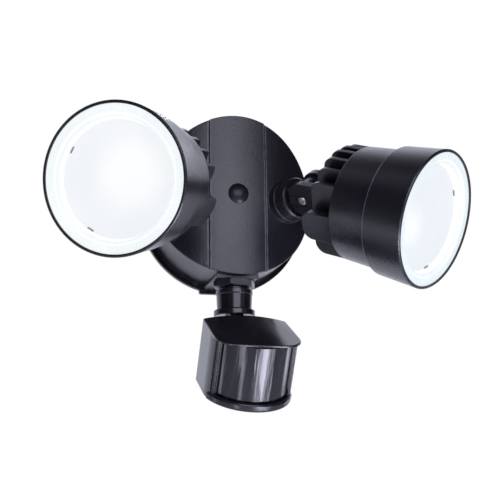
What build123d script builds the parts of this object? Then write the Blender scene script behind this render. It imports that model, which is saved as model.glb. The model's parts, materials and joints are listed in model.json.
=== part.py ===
"""Motion sensor security light: round wall canopy, two finned floodlight heads
on swivel knuckles, and a motion sensor hanging on a swivel neck.

The wall is the plane Y = 0 and the light stands out of it towards -Y, +Z up.
The origin is the middle of the canopy on the wall. Sizes are in millimetres.
"""
from build123d import *
import os
from math import asin, cos, degrees, radians, sin, sqrt, tan

# ---- clearances ----
fit_gap = 0.06          # radial gap of a shaft that turns in its hole
face_gap = 0.3          # gap between faces that slide past each other
seat_gap = 0.2          # gap round a piece that drops into its seat
over = 1.0              # how far a cutter runs past what it cuts
far = 90.0              # a cutter that goes right out of the canopy

# ---- canopy ----
canopy_r = 62.0         # drum
canopy_depth = 58.4     # from the wall to the crown of the front
canopy_wall = 3.0
front_curve_r = 109.0   # the front is part of an upright cylinder
front_round = 1.4
flange_r = 66.8
flange_t = 2.6
flange_lip_w = 1.5
flange_lip_h = 1.3
flange_tab_half = 18.6  # flat foot of the flange under the sensor boss
flange_tab_drop = 0.3
flange_tab_round = 1.6
gasket_t = 1.5
gasket_w = 6.0
gasket_inset = 0.8
band_half = 21.9        # half the width of the raised middle band
band_proud = 0.8
groove_w = 1.1
groove_depth = 1.2
band_inset = 0.25       # the band stays this far inside the drum

# ---- wall fixing ----
bar_length = 108.0
bar_width = 20.0
bar_t = 2.5
bar_rise = 5.5          # how far the middle of the bar stands off the wall
bar_middle = 52.0       # length of the raised middle
bar_slope = 6.0         # run of each slope
bar_bend = 1.0
bar_corner = 4.0
box_screw_spacing = 88.9
box_slot_w = 4.6
box_slot_length = 15.0
bolt_r = 2.4
bolt_head_r = 4.6
bolt_head_h = 2.6
bolt_tip = 4.0          # length that shows behind the bar
bolt_post_r = 6.5
bolt_seat_t = 1.0       # metal between the bolt head and the plug
plug_r = 7.85
plug_stem_r = 5.4
plug_dome = 2.6
plug_stem = 3.4
plug_stem_wall = 1.4
plug_floor = 0.6
ground_screw_x = 17.0
ground_screw_r = 2.0
ground_screw_tip = 2.0
ground_head_r = 3.8
ground_head_h = 2.2

# ---- driver and control board inside the canopy ----
driver_size = (46.0, 26.0, 20.0)
driver_y = 33.0
driver_ear = 7.0
driver_ear_t = 2.0
driver_ear_half = 6.0
driver_round = 2.0
driver_top = 47.5       # height over the wall of the driver's fixing face
board_size = (46.0, 26.0, 1.6)
board_y = -31.0
board_top = 46.0
board_post_x = 19.0
relay_x = (-12.0, 3.0)
relay_half = 6.0
relay_h = 12.0
relay_round = 0.8
can_x = 9.0             # capacitor and coil
can_r = 4.0
can_h = 14.0
can_off = 5.0
coil_r = 4.5
coil_h = 9.0
coil_off = 6.0
small_post_r = 3.2
small_screw_r = 1.5
small_screw_head_r = 2.8
small_screw_head_h = 1.8
small_screw_bite = 6.0
small_screw_room = 0.5   # hole past the end of the screw

# ---- threaded stems (half inch lamp thread) ----
thread_r = 10.45
nut_flats = 28.6
nut_t = 5.5
nut_corner = 0.4        # flat left outside the turned corners
inner_nut_t = 5.0
inner_nut_flats = 26.6
thread_past_nut = 3.0
wire_bore_r = 4.0
wire_bore_rise = 3.0    # the bore ends this far inside the tongue

# ---- lamp ports on the canopy ----
port_x = 40.2
port_z = -2.2
port_boss_r = 16.5
port_boss_h = 5.0
port_pad = 7.0          # depth of the boss behind the front
port_boss_round = 0.8
washer_inset = 0.5
washer_t = 1.0
stem_base_r = 16.0
stem_base_top = 15.6
stem_chamfer = 1.2
pivot_height = 29.9     # from the canopy's front to the tilt screw
tongue_half = 6.0
tongue_r = 11.0

# ---- lamp head, measured along its axis from the tilt screw ----
head_length = 105.5
ring_length = 31.0
ring_step = 2.9         # the bezel stands this far out of the barrel
ring_flare = 2.3        # and widens this much towards the front
ring_edge = 0.7
ring_wall = 1.55
ring_lip = 2.0
ring_lip_t = 1.2
barrel_length = 29.4
barrel_front_r = 43.0
barrel_rear_r = 41.2
barrel_wall = 2.4
sink_floor = 5.0
fin_rear = 22.0         # where the fins end, in front of the tilt screw
fin_lean = 4.8          # their rear edge leans this many degrees
fin_pitch = 9.0
fin_t = 3.0
fin_round = 8.0
fin_inset = 0.15
side_fin_t = 5.2        # thick outermost fins
side_fin_rear = 20.0
side_fin_inset = 1.6
fin_room = 3.0          # least air between a fin and a thick one
ear_t = 5.7
ear_half_height = 13.5
ear_round = 12.4
tilt_screw_r = 2.5
tilt_screw_head_r = 3.3
tilt_screw_head_h = 1.6
tilt_nut_flats = 8.0
tilt_nut_t = 3.2
tilt_nut_sunk = 0.1
tilt_seat = 0.6         # depth of the screw head's seat
lens_t = 2.6
lens_rim_w = 8.2        # raised rim of the lens
lens_step = 1.1
lens_slope = 0.8
lens_gasket_t = 1.5
lens_gasket_inset = 1.2
lens_gasket_in = 0.4
reflector_t = 1.2
reflector_gap = 1.2     # between its rim and the barrel
reflector_lip_in = 0.6
reflector_turn = 2.0    # height of the turned rim
reflector_foot = 2.0    # how far it stands on the board
board_margin = 5.8      # between the LED board and the barrel
led_board_t = 1.6
led_size = 3.4
led_height = 0.9
led_ring_r = (6.5, 15.0, 24.0)
leds_in_ring = (4, 8, 12)

# ---- how the heads are turned, as photographed, in degrees ----
left_pan = -35.0
left_tilt = 18.4
right_pan = 38.7
right_tilt = 27.2

# ---- sensor neck ----
neck_y = -43.0
boss_half = 16.0
boss_flat_z = -64.0
boss_front = 54.0
boss_round = 1.2
boss_wall = 7.5         # metal over the boss, inside the drum
locknut_turn = 7.0      # degrees
neck_top_r = 13.4
neck_low_r = 12.9
neck_collar_r = 13.8
neck_collar_h = 3.4
neck_waist_r = 11.4
neck_gap = 1.5          # waist between the locknut and the neck
neck_bottom_z = -91.0
neck_flange_r = 15.4
neck_flange_t = 4.4
neck_edge = 0.5
neck_floor = 3.0
thread_inside = 10.0
sensor_pivot_z = -101.0
sensor_tongue_half = 5.0
sensor_knuckle_r = 7.6
sensor_ear_t = 4.4
sensor_screw_r = 2.0
sensor_screw_head_r = 3.6
sensor_screw_head_h = 2.0
sensor_nut_flats = 7.0
sensor_nut_t = 2.6

# ---- sensor housing, measured from its tilt screw ----
sensor_turn = 2.0       # turned to the right, as photographed
sensor_tilt = 28.9      # nose down, as photographed
sensor_back = 22.1      # from the tilt screw to the flat back
sensor_top = 15.8
sensor_height = 46.3
sensor_half = 30.5
sensor_straight = 24.0  # length of the flat sides
sensor_wall = 2.2
visor_front = 72.2      # from the tilt screw
visor_bow = 2.0         # its front edge is curved this much
visor_t = 1.5
visor_crown = 3.6       # extra height of its rear edge in the middle
visor_corner = 15.0
visor_rear_corner = 1.5
visor_over = 0.3        # how far the visor stands past the housing
visor_edge = 0.5
cap_t = 1.2             # plate under the visor that closes the lens
window_angle = 59.0     # the lens window reaches this far each way
lens_inset = 1.6        # from the housing's side to the lens
lens_margin = 1.0       # degrees between the lens and the window's edge
lens_gap = 0.05
sensor_lens_t = 1.2
side_rib_w = 1.6
side_rib_proud = 1.0
side_rib_turns = (3.5, 10.0)  # degrees past the window's edge
rim_t = 6.0
rim_proud = 2.0
rim_start = 13.0        # degrees past the window's edge
base_t = 2.4
base_ledge = 1.0
sensor_board_v = 12.0
sensor_board_t = 1.6
sensor_board_half = 22.0
sensor_shelf = 20.0
eye_r = 4.6
eye_h = 4.2
eye_round = 0.6
eye_window = (4.0, 3.0, 0.3)
knob_r = 4.2
knob_show = 2.6
knob_stem = 4.0
knob_x = 11.0
knob_v = 24.0
knob_slot_w = 1.0
knob_slot_depth = 1.0
knob_edge = 0.5
base_screw_r = 1.4
base_screw_head_r = 2.6
base_screw_head_h = 1.4
base_screw_bite = 3.0
base_screw_x = 22.0
base_screw_back = 6.0
base_screw_front = 8.0
sensor_screw_tip = 0.6

# ---- places that follow from the sizes ----
ring_rear = head_length - ring_length
barrel_rear = ring_rear - barrel_length
ring_rear_r = barrel_front_r + ring_step
ring_front_r = ring_rear_r + ring_flare
ring_pocket_r = ring_front_r - ring_wall
lens_top = head_length - ring_lip_t
gasket_top = lens_top - lens_t
ring_seat = gasket_top - lens_gasket_t
barrel_bore_r = barrel_front_r - barrel_wall
sink_top = barrel_rear + sink_floor
led_board_r = barrel_rear_r - barrel_wall - board_margin
canopy_crown = canopy_depth + band_proud
bolt_head_z = canopy_crown - plug_stem - bolt_head_h - bolt_seat_t
front_centre = canopy_depth - front_curve_r
port_angle = degrees(asin(port_x / front_curve_r))
bar_top = bar_rise + bar_t
pivot_half = tongue_half + face_gap
sensor_ear_in = sensor_tongue_half + face_gap
sensor_ear_out = sensor_ear_in + sensor_ear_t
visor_bottom = sensor_top - visor_t
cap_bottom = visor_bottom - cap_t
sensor_bottom = sensor_top - sensor_height
round_start = sensor_back + sensor_straight
sensor_lens_r = sensor_half - lens_inset

# The wall frame: x along the wall, y up, z out of the wall.
WALL = Plane(origin=(0, 0, 0), x_dir=(1, 0, 0), z_dir=(0, -1, 0))


def disc(radius, low, high):
    """Upright round bar between two heights."""
    bar = Cylinder(radius, high - low, align=(Align.CENTER, Align.CENTER, Align.MIN))
    return Pos(0, 0, low) * bar


def tube(outer, inner, low, high):
    return disc(outer, low, high) - disc(inner, low - over, high + over)


def block(x, y, z):
    """Box given by its low and high ends along each axis."""
    size = (x[1] - x[0], y[1] - y[0], z[1] - z[0])
    return Pos((x[0] + x[1]) / 2, (y[0] + y[1]) / 2, (z[0] + z[1]) / 2) * Box(*size)


def cross_bar(radius, low, high):
    """Round bar along X between two places."""
    return Rot(0, 90, 0) * disc(radius, low, high)


def hexagon(flats, low, high, bore=0.0):
    nut = extrude(RegularPolygon(flats / sqrt(3), 6), high - low)
    nut = Pos(0, 0, low) * nut
    nut &= revolve(chamfer_profile(flats, low, high), Axis.Z)
    if bore:
        nut -= disc(bore, low - over, high + over)
    return nut


def chamfer_profile(flats, low, high):
    """Half section of the round bar that a nut's corners are turned from."""
    corner = flats / sqrt(3)
    turned = flats / 2 + nut_corner
    drop = (corner - turned) * 0.6
    line = Polyline((0, low), (turned, low), (corner, low + drop), (corner, high - drop),
                    (turned, high), (0, high), close=True)
    return Plane.XZ * make_face(line)


def cross_slot(radius, height, depth, width):
    """Cross recess cut into a screw head whose top is at a height."""
    arm = Box(2 * radius, width, 2 * depth)
    return Pos(0, 0, height) * (arm + Rot(0, 0, 90) * arm)


def screw(shank_r, length, head_r, head_h):
    """Pan head screw: the head's underside is at 0 and the shank goes down."""
    head = disc(head_r, 0, head_h)
    head = fillet(head.edges().group_by(Axis.Z)[-1], head_h * 0.6)
    head -= cross_slot(head_r * 0.6, head_h, head_h * 0.45, head_r * 0.24)
    return head + disc(shank_r, -length, 0)


def turned(points):
    """Solid of revolution about Z from half-section points (radius, height)."""
    return revolve(Plane.XZ * make_face(Polyline(*points, close=True)), Axis.Z)


# ==== canopy, drawn in the wall frame ====
def front_bar(radius, half_width=far):
    """Upright round bar whose side is the canopy's front."""
    bar = Cylinder(radius, 3 * canopy_r, rotation=(90, 0, 0))
    bar = Pos(0, 0, front_centre) * bar
    return bar & block((-half_width, half_width), (-far, far), (0, far))


def port_plane(side):
    """Frame of a lamp port: z out of the front, y down."""
    out = radians(port_angle)
    origin = (side * port_x, -(front_centre + front_curve_r * cos(out)), port_z)
    return Plane(origin=origin, x_dir=(-cos(out), -side * sin(out), 0),
                 z_dir=(side * sin(out), -cos(out), 0))


def from_wall(plane):
    """A placed plane, seen in the wall frame."""
    return WALL.location.inverse() * plane.location


def make_canopy():
    outer = disc(canopy_r, gasket_t, far) & front_bar(front_curve_r)
    rim = outer.edges().filter_by(GeomType.CIRCLE, reverse=True).sort_by(Axis.Z)[-2:]
    outer = fillet(rim, front_round)
    band = disc(canopy_r - band_inset, canopy_depth / 2, far)
    band &= front_bar(front_curve_r + band_proud, band_half - groove_w / 2)
    outer += band
    outer += disc(flange_r, gasket_t, gasket_t + flange_t)
    outer += tube(flange_r, flange_r - flange_lip_w, gasket_t,
                  gasket_t + flange_t + flange_lip_h)
    outer += flange_tab() + sensor_boss()
    skin = front_bar(front_curve_r + port_boss_h) - front_bar(front_curve_r - groove_depth)
    for side in (-1, 1):
        middle = side * band_half
        outer -= skin & block((middle - groove_w / 2, middle + groove_w / 2),
                              (-far, far), (canopy_depth / 3, far))
        outer += from_wall(port_plane(side)) * port_boss()
    hollow = disc(canopy_r - canopy_wall, -over, far) & front_bar(front_curve_r - canopy_wall)
    hollow -= block((-boss_half, boss_half), (-far, boss_flat_z + boss_wall), (0, far))
    for side in (-1, 1):
        hollow -= from_wall(port_plane(side)) * disc(port_boss_r, -port_pad, port_boss_h)
    hollow -= disc(bolt_post_r, bar_top, far)
    for x, y, top in small_posts():
        hollow -= Pos(x, y, 0) * disc(small_post_r, top, far)
    body = outer - hollow - disc(bolt_r + seat_gap, 0, far)
    body -= disc(plug_stem_r + fit_gap, bolt_head_z, far)
    for side in (-1, 1):
        body -= from_wall(port_plane(side)) * disc(thread_r + fit_gap, -port_pad - over,
                                                   port_boss_h + over)
    for x, y, top in small_posts():
        body -= Pos(x, y, 0) * disc(small_screw_r, top - over,
                                    top + small_screw_bite + small_screw_room)
    return body - neck_hole()


def port_boss():
    boss = disc(port_boss_r, -port_pad, port_boss_h)
    return fillet(boss.edges().group_by(Axis.Z)[-1], port_boss_round)


def flange_tab():
    """Flat foot of the flange below the sensor's boss."""
    tab = block((-flange_tab_half, flange_tab_half),
                (-flange_r - flange_tab_drop, boss_flat_z + over),
                (gasket_t, gasket_t + flange_t + flange_lip_h))
    return fillet(tab.edges().filter_by(Axis.Z).group_by(Axis.Y)[0], flange_tab_round)


def sensor_boss():
    """Flat pad under the drum that the sensor's neck is fixed to."""
    pad = block((-boss_half, boss_half), (boss_flat_z, -canopy_r / 2), (gasket_t, boss_front))
    return fillet(pad.edges().filter_by(Axis.Z).group_by(Axis.Y)[0], boss_round)


def neck_hole():
    hole = Rot(90, 0, 0) * disc(thread_r + fit_gap, canopy_r / 2, far)
    return Pos(0, 0, -neck_y) * hole


def small_posts():
    """Places of the posts that hold the driver and the control board."""
    driver_x = driver_size[0] / 2 + driver_ear / 2
    posts = [(side * driver_x, driver_y, driver_top) for side in (-1, 1)]
    posts += [(side * board_post_x, board_y, board_top) for side in (-1, 1)]
    return posts


def make_wall_gasket():
    outer = flange_r - gasket_inset
    return tube(outer, outer - gasket_w, 0, gasket_t)


def make_crossbar():
    """Steel strip, its raised middle joined to its ends by two slopes."""
    half = bar_middle / 2
    foot = half + bar_slope
    end = bar_length / 2
    line = Polyline((-end, 0), (-foot, 0), (-half, bar_rise), (half, bar_rise),
                    (foot, 0), (end, 0), (end, bar_t), (foot + bar_bend, bar_t),
                    (half + bar_bend, bar_top), (-half - bar_bend, bar_top),
                    (-foot - bar_bend, bar_t), (-end, bar_t), close=True)
    bar = extrude(Plane.XZ * make_face(line), bar_width / 2, both=True)
    corners = bar.edges().filter_by(Axis.Z)
    bar = fillet(corners.group_by(Axis.X)[0] + corners.group_by(Axis.X)[-1], bar_corner)
    for side in (-1, 1):
        slot = extrude(SlotOverall(box_slot_length, box_slot_w), bar_t + 2 * over)
        bar -= Pos(side * box_screw_spacing / 2, 0, -over) * slot
    bar -= disc(bolt_r + fit_gap, 0, bar_top + over)
    return bar - Pos(ground_screw_x, 0, 0) * disc(ground_screw_r + fit_gap, 0, bar_top + over)


def make_centre_bolt():
    length = bolt_head_z - bar_rise + bolt_tip
    return Pos(0, 0, bolt_head_z) * screw(bolt_r, length, bolt_head_r, bolt_head_h)


def make_plug():
    """Domed cover with a hollow stem that presses into the bolt's well."""
    sphere_r = (plug_r ** 2 + plug_dome ** 2) / (2 * plug_dome)
    dome = Pos(0, 0, canopy_crown + plug_dome - sphere_r) * Sphere(sphere_r)
    dome &= disc(plug_r, canopy_crown, canopy_crown + 2 * plug_dome)
    stem = disc(plug_stem_r, canopy_crown - plug_stem, canopy_crown + plug_dome / 10)
    stem -= disc(plug_stem_r - plug_stem_wall, canopy_crown - plug_stem - over,
                 canopy_crown - plug_floor)
    return dome + stem


def make_ground_screw():
    part = screw(ground_screw_r, bar_t + ground_screw_tip, ground_head_r, ground_head_h)
    return Pos(ground_screw_x, 0, bar_top) * part


def make_driver():
    """Potted power supply with a fixing ear at each end."""
    width, height, depth = driver_size
    box = block((-width / 2, width / 2), (driver_y - height / 2, driver_y + height / 2),
                (driver_top - depth, driver_top))
    box = fillet(box.edges().filter_by(Axis.Z), driver_round)
    reach = width / 2 + driver_ear
    box += block((-reach, reach), (driver_y - driver_ear_half, driver_y + driver_ear_half),
                 (driver_top - driver_ear_t, driver_top))
    for x, y, top in small_posts()[:2]:
        box -= Pos(x, y, 0) * disc(small_screw_r + fit_gap, top - driver_ear_t - over,
                                   top + over)
    return box


def make_control_board():
    width, height, thick = board_size
    board = block((-width / 2, width / 2), (board_y - height / 2, board_y + height / 2),
                  (board_top - thick, board_top))
    for x, y, top in small_posts()[2:]:
        board -= Pos(x, y, 0) * disc(small_screw_r + fit_gap, top - thick - over, top + over)
    return board


def make_board_parts():
    """Relay, filter capacitor and coil on the control board."""
    face = board_top - board_size[2]
    relay = block(relay_x, (board_y - relay_half, board_y + relay_half), (face - relay_h, face))
    relay = fillet(relay.edges().group_by(Axis.Z)[0], relay_round)
    capacitor = Pos(can_x, board_y + can_off, 0) * disc(can_r, face - can_h, face)
    coil = Pos(can_x, board_y - coil_off, 0) * disc(coil_r, face - coil_h, face)
    return [relay, capacitor, coil]


def make_board_screws(places, thick):
    """Screws that come up from the wall side into the posts."""
    group = []
    for x, y, top in places:
        part = screw(small_screw_r - fit_gap, thick + small_screw_bite,
                     small_screw_head_r, small_screw_head_h)
        group.append(Pos(x, y, top - thick) * Rot(180, 0, 0) * part)
    return group


# ==== lamp stem, drawn in its port's frame ====
def make_stem():
    """Threaded stem with a round base and the tongue that the head tilts on."""
    low = port_boss_h + washer_t
    base = disc(stem_base_r, low, stem_base_top)
    base = chamfer(base.edges().group_by(Axis.Z)[-1], stem_chamfer)
    thread_low = -port_pad - inner_nut_t - thread_past_nut
    base += disc(thread_r, thread_low, low + over)
    tongue = block((-tongue_half, tongue_half), (-tongue_r, tongue_r),
                   (stem_base_top - over, pivot_height))
    tongue += Pos(0, 0, pivot_height) * cross_bar(tongue_r, -tongue_half, tongue_half)
    stem = base + tongue
    stem -= Pos(0, 0, pivot_height) * cross_bar(tilt_screw_r + fit_gap, -tongue_half - over,
                                                tongue_half + over)
    return stem - disc(wire_bore_r, thread_low - over, pivot_height - tongue_r + wire_bore_rise)


def make_stem_washer():
    return tube(stem_base_r - washer_inset, thread_r + fit_gap, port_boss_h,
                port_boss_h + washer_t)


def make_stem_nut():
    return hexagon(inner_nut_flats, -port_pad - inner_nut_t, -port_pad, thread_r + fit_gap)


# ==== lamp head, drawn from its tilt screw: x along the screw, z forwards ====
def make_lamp_body():
    """Die-cast heat sink: tapered barrel, parallel cooling fins, two knuckle ears."""
    front = ring_seat - reflector_t
    body = turned([(0, barrel_rear), (barrel_rear_r, barrel_rear), (barrel_front_r, ring_rear),
                   (barrel_front_r, front), (barrel_bore_r, front), (barrel_bore_r, ring_rear),
                   (barrel_rear_r - barrel_wall, sink_top), (0, sink_top)])
    outermost = barrel_rear_r - side_fin_inset - side_fin_t / 2
    room = outermost - side_fin_t / 2 - fin_room - fin_t / 2
    each_side = int(room / fin_pitch)
    for number in range(-each_side, each_side + 1):
        body += make_fin(number * fin_pitch, fin_t, fin_rear)
    for side in (-1, 1):
        body += make_fin(side * outermost, side_fin_t, side_fin_rear)
        body += make_ear(side)
    outside = pivot_half + ear_t
    body -= cross_bar(tilt_screw_r + fit_gap, -outside - over, outside + over)
    body -= Rot(0, 90, 0) * hexagon(tilt_nut_flats + 2 * seat_gap, -outside - over,
                                    -outside + tilt_nut_t)
    return body - cross_bar(tilt_screw_head_r + seat_gap, outside - tilt_seat, outside + over)


def make_fin(x, thick, rear):
    """One cooling fin, flush with the barrel, its rear edge leaning and rounded."""
    reach = barrel_rear_r - fin_inset
    half = sqrt(reach ** 2 - (abs(x) + thick / 2) ** 2)
    lean = half * tan(radians(fin_lean))
    side = Polyline((-half, rear + lean), (half, rear - lean), (half, barrel_rear + over),
                    (-half, barrel_rear + over), close=True)
    fin = extrude(Plane.YZ * make_face(side), thick / 2, both=True)
    corners = fin.edges().filter_by(Axis.X).sort_by(Axis.Z)[:2]
    return Pos(x, 0, 0) * fillet(corners, min(fin_round, half - fin_inset))


def make_ear(side):
    """Knuckle ear with a round end about the tilt screw."""
    centre = side * (pivot_half + ear_t / 2)
    ear = block((centre - ear_t / 2, centre + ear_t / 2), (-ear_half_height, ear_half_height),
                (-ear_round, barrel_rear + over))
    corners = ear.edges().filter_by(Axis.X).group_by(Axis.Z)[0]
    return fillet(corners, ear_round)


def make_front_ring():
    """Wide bezel that slides over the barrel and holds the lens under its lip."""
    bore = barrel_front_r + seat_gap / 2
    mouth = ring_front_r - ring_lip
    return turned([(bore, ring_rear), (ring_rear_r - ring_edge, ring_rear),
                   (ring_rear_r, ring_rear + ring_edge), (ring_front_r, head_length - ring_edge),
                   (ring_front_r - ring_edge, head_length), (mouth, head_length),
                   (mouth, lens_top), (ring_pocket_r, lens_top), (ring_pocket_r, ring_seat),
                   (bore, ring_seat)])


def make_lens():
    """Frosted lens with a raised rim round its lower middle."""
    radius = ring_pocket_r - seat_gap / 2
    step_r = ring_front_r - lens_rim_w
    return turned([(0, gasket_top), (radius, gasket_top), (radius, lens_top),
                   (step_r + lens_slope, lens_top), (step_r, lens_top - lens_step),
                   (0, lens_top - lens_step)])


def make_lens_gasket():
    return tube(ring_pocket_r - lens_gasket_inset, barrel_bore_r - lens_gasket_in,
                ring_seat, gasket_top)


def make_reflector():
    """White bowl from the LED board to the barrel's front."""
    rim = barrel_bore_r - reflector_gap
    lip = barrel_front_r - reflector_lip_in
    under = ring_seat - reflector_t
    low = sink_top + led_board_t
    foot = led_board_r - reflector_foot
    return turned([(foot, low), (rim - reflector_t, ring_seat), (lip, ring_seat), (lip, under),
                   (rim, under), (rim, under - reflector_turn), (foot + reflector_t, low)])


def make_led_board():
    return disc(led_board_r, sink_top, sink_top + led_board_t)


def make_led_chips():
    """Square LEDs in rings on their board."""
    middle = sink_top + led_board_t + led_height / 2
    chips = []
    for radius, count in zip(led_ring_r, leds_in_ring):
        chip = Pos(radius, 0, middle) * Box(led_size, led_size, led_height)
        chips += [Rot(0, 0, 360 * number / count) * chip for number in range(count)]
    return chips


def make_tilt_screw():
    under_head = pivot_half + ear_t - tilt_seat
    part = screw(tilt_screw_r, under_head + pivot_half + ear_t, tilt_screw_head_r,
                 tilt_screw_head_h)
    return Pos(under_head, 0, 0) * Rot(0, 90, 0) * part


def make_tilt_nut():
    nut = hexagon(tilt_nut_flats, 0, tilt_nut_t - tilt_nut_sunk, tilt_screw_r + fit_gap / 2)
    return Pos(-pivot_half - ear_t + tilt_nut_sunk, 0, 0) * Rot(0, 90, 0) * nut


def head_planes(side, pan, tilt):
    """Frames of a lamp's stem and head for its pan and tilt."""
    port = port_plane(side)
    turn = port.location * Rot(0, 0, pan)
    head = turn * Pos(0, 0, pivot_height) * Rot(-tilt, 0, 0)
    return turn, head


# ==== sensor neck ====
def make_sensor_nut():
    nut = hexagon(nut_flats, boss_flat_z - nut_t, boss_flat_z, thread_r + fit_gap)
    return Pos(0, neck_y, 0) * Rot(0, 0, locknut_turn) * nut


def make_neck():
    """Hollow neck: thread, waist, collar, tapered tube, flange and tongue."""
    top = boss_flat_z - nut_t - face_gap
    thread_top = boss_flat_z + thread_inside
    shoulder = top - neck_gap
    collar_low = shoulder - neck_collar_h
    flange_top = neck_bottom_z + neck_flange_t
    bevel = neck_edge
    neck = turned([(wire_bore_r, thread_top), (thread_r, thread_top), (thread_r, top),
                   (neck_waist_r, top), (neck_waist_r, shoulder),
                   (neck_collar_r, shoulder - bevel), (neck_collar_r, collar_low),
                   (neck_top_r, collar_low - bevel), (neck_low_r, flange_top + bevel),
                   (neck_flange_r - bevel, flange_top), (neck_flange_r, flange_top - bevel),
                   (neck_flange_r, neck_bottom_z + bevel),
                   (neck_flange_r - bevel, neck_bottom_z), (wire_bore_r, neck_bottom_z)])
    neck += disc(wire_bore_r + over, neck_bottom_z, neck_bottom_z + neck_floor)
    half = sensor_tongue_half
    neck += block((-half, half), (-sensor_knuckle_r, sensor_knuckle_r),
                  (sensor_pivot_z, neck_bottom_z + over))
    neck += Pos(0, 0, sensor_pivot_z) * cross_bar(sensor_knuckle_r, -half, half)
    neck -= Pos(0, 0, sensor_pivot_z) * cross_bar(sensor_screw_r + fit_gap, -half - over,
                                                  half + over)
    return Pos(0, neck_y, 0) * Rot(0, 0, sensor_turn) * neck


# ==== sensor, drawn from its tilt screw: x right, y forwards, z up ====
def sensor_outline(grow=0.0):
    """Flat back and sides, with a half round front."""
    half = sensor_half + grow
    back = sensor_back - grow
    line = Polyline((half, round_start), (half, back), (-half, back), (-half, round_start))
    arc = ThreePointArc((-half, round_start), (0, round_start + half), (half, round_start))
    return make_face([*line.edges(), arc])


def sensor_prism(grow, low, high):
    return Pos(0, 0, low) * extrude(sensor_outline(grow), high - low)


def front_wedge(angle, low, high):
    """Wedge in front of the housing, opening this far to each side."""
    reach = sensor_half * 2
    side = reach * sin(radians(angle))
    front = round_start + reach * cos(radians(angle))
    wedge = make_face(Polyline((0, round_start), (side, front), (side, round_start + reach),
                               (-side, round_start + reach), (-side, front), close=True))
    return Pos(0, 0, low) * extrude(wedge, high - low)


def make_sensor_housing():
    """Rear shell with flat sides, upright ribs beside the window, and the fork."""
    low = sensor_bottom + rim_t / 2
    shell = sensor_prism(0, low, visor_bottom)
    shell -= sensor_prism(-sensor_wall, low - over, visor_bottom + over)
    shell -= front_wedge(window_angle, low - over, visor_bottom + over)
    rib = block((-side_rib_w / 2, side_rib_w / 2),
                (sensor_half - sensor_wall / 2, sensor_half + side_rib_proud),
                (sensor_bottom + rim_t + lens_gap, visor_bottom))
    for side in (-1, 1):
        for turn in side_rib_turns:
            shell += Pos(0, round_start, 0) * Rot(0, 0, side * (window_angle + turn)) * rib
        near = min(side * sensor_ear_in, side * sensor_ear_out)
        shell += block((near, near + sensor_ear_t), (0, sensor_back + over),
                       (-sensor_knuckle_r, sensor_knuckle_r))
        shell += cross_bar(sensor_knuckle_r, near, near + sensor_ear_t)
    return shell - cross_bar(sensor_screw_r + fit_gap, -sensor_ear_out - over,
                             sensor_ear_out + over)


def make_visor():
    """Top plate, crowned at the back and flat at the front, over a cap for the lens."""
    half = sensor_half + visor_over
    back = sensor_back - visor_over
    rear_end = Polyline((half, sensor_top), (half, visor_bottom), (-half, visor_bottom),
                        (-half, sensor_top))
    crown = ThreePointArc((-half, sensor_top), (0, sensor_top + visor_crown),
                          (half, sensor_top))
    front_end = Polyline((half, sensor_top), (half, visor_bottom), (-half, visor_bottom),
                         (-half, sensor_top), close=True)
    rear_face = Pos(0, back, 0) * Rot(90, 0, 0) * make_face([*rear_end.edges(), crown])
    front_face = Pos(0, visor_front, 0) * Rot(90, 0, 0) * make_face(front_end)
    plate = loft([rear_face, front_face], ruled=True)
    shoulder = visor_front - visor_bow
    sides = Polyline((half, shoulder), (half, back), (-half, back), (-half, shoulder))
    bow = ThreePointArc((-half, shoulder), (0, visor_front), (half, shoulder))
    plan = make_face([*sides.edges(), bow])
    corners = plan.vertices().group_by(Axis.Y)
    plan = fillet(corners[-1], visor_corner)
    plan = fillet(plan.vertices().group_by(Axis.Y)[0], visor_rear_corner)
    plate &= Pos(0, 0, visor_bottom) * extrude(plan, visor_t + visor_crown)
    plate = chamfer(plate.faces().sort_by(Axis.Z)[-1].edges(), visor_edge)
    inside = lens_inset + sensor_lens_t + seat_gap / 2
    return plate + sensor_prism(-inside, cap_bottom, visor_bottom)


def make_sensor_lens():
    """Thin half round lens behind the window."""
    low = sensor_bottom + rim_t / 2 + lens_gap
    high = visor_bottom - lens_gap
    shell = tube(sensor_lens_r, sensor_lens_r - sensor_lens_t, low, high)
    keep = front_wedge(window_angle - lens_margin, low - over, high + over)
    return Pos(0, round_start, 0) * shell & keep


def make_sensor_base():
    """Bottom cover with a thick rounded bead round its front."""
    low = sensor_bottom
    seat = low + rim_t / 2
    bead = sensor_prism(rim_proud, low, low + rim_t)
    bead = fillet(bead.edges().group_by(Axis.Z)[0] + bead.edges().group_by(Axis.Z)[-1],
                  rim_proud * 0.95)
    bead &= front_wedge(window_angle + rim_start, low - over, low + rim_t + over)
    base = sensor_prism(0, low, seat) + bead
    base -= sensor_prism(seat_gap / 2, seat, low + rim_t + over)
    base -= sensor_prism(-sensor_wall - base_ledge, low + base_t, low + rim_t)
    for side in (-1, 1):
        base -= Pos(side * knob_x, knob_v + sensor_back, 0) * disc(
            knob_r + fit_gap, low - over, low + rim_t)
    for x, y in base_screw_places():
        base -= Pos(x, y, 0) * disc(base_screw_r + fit_gap, low - over, low + rim_t)
    return base


def base_screw_places():
    back = sensor_back + base_screw_back
    front = round_start + sensor_half - base_screw_front
    return [(-base_screw_x, back), (base_screw_x, back), (0, front)]


def make_base_screws():
    group = []
    for x, y in base_screw_places():
        part = screw(base_screw_r, base_t + base_screw_bite, base_screw_head_r,
                     base_screw_head_h)
        group.append(Pos(x, y, sensor_bottom) * Rot(180, 0, 0) * part)
    return group


def make_knob():
    """Adjuster with a screwdriver slot, turned from under the sensor."""
    low = sensor_bottom - knob_show
    knob = disc(knob_r, low, sensor_bottom + base_t + knob_stem)
    knob = chamfer(knob.edges().group_by(Axis.Z)[0], knob_edge)
    return knob - block((-knob_r - over, knob_r + over), (-knob_slot_w / 2, knob_slot_w / 2),
                        (low - over, low + knob_slot_depth))


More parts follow.
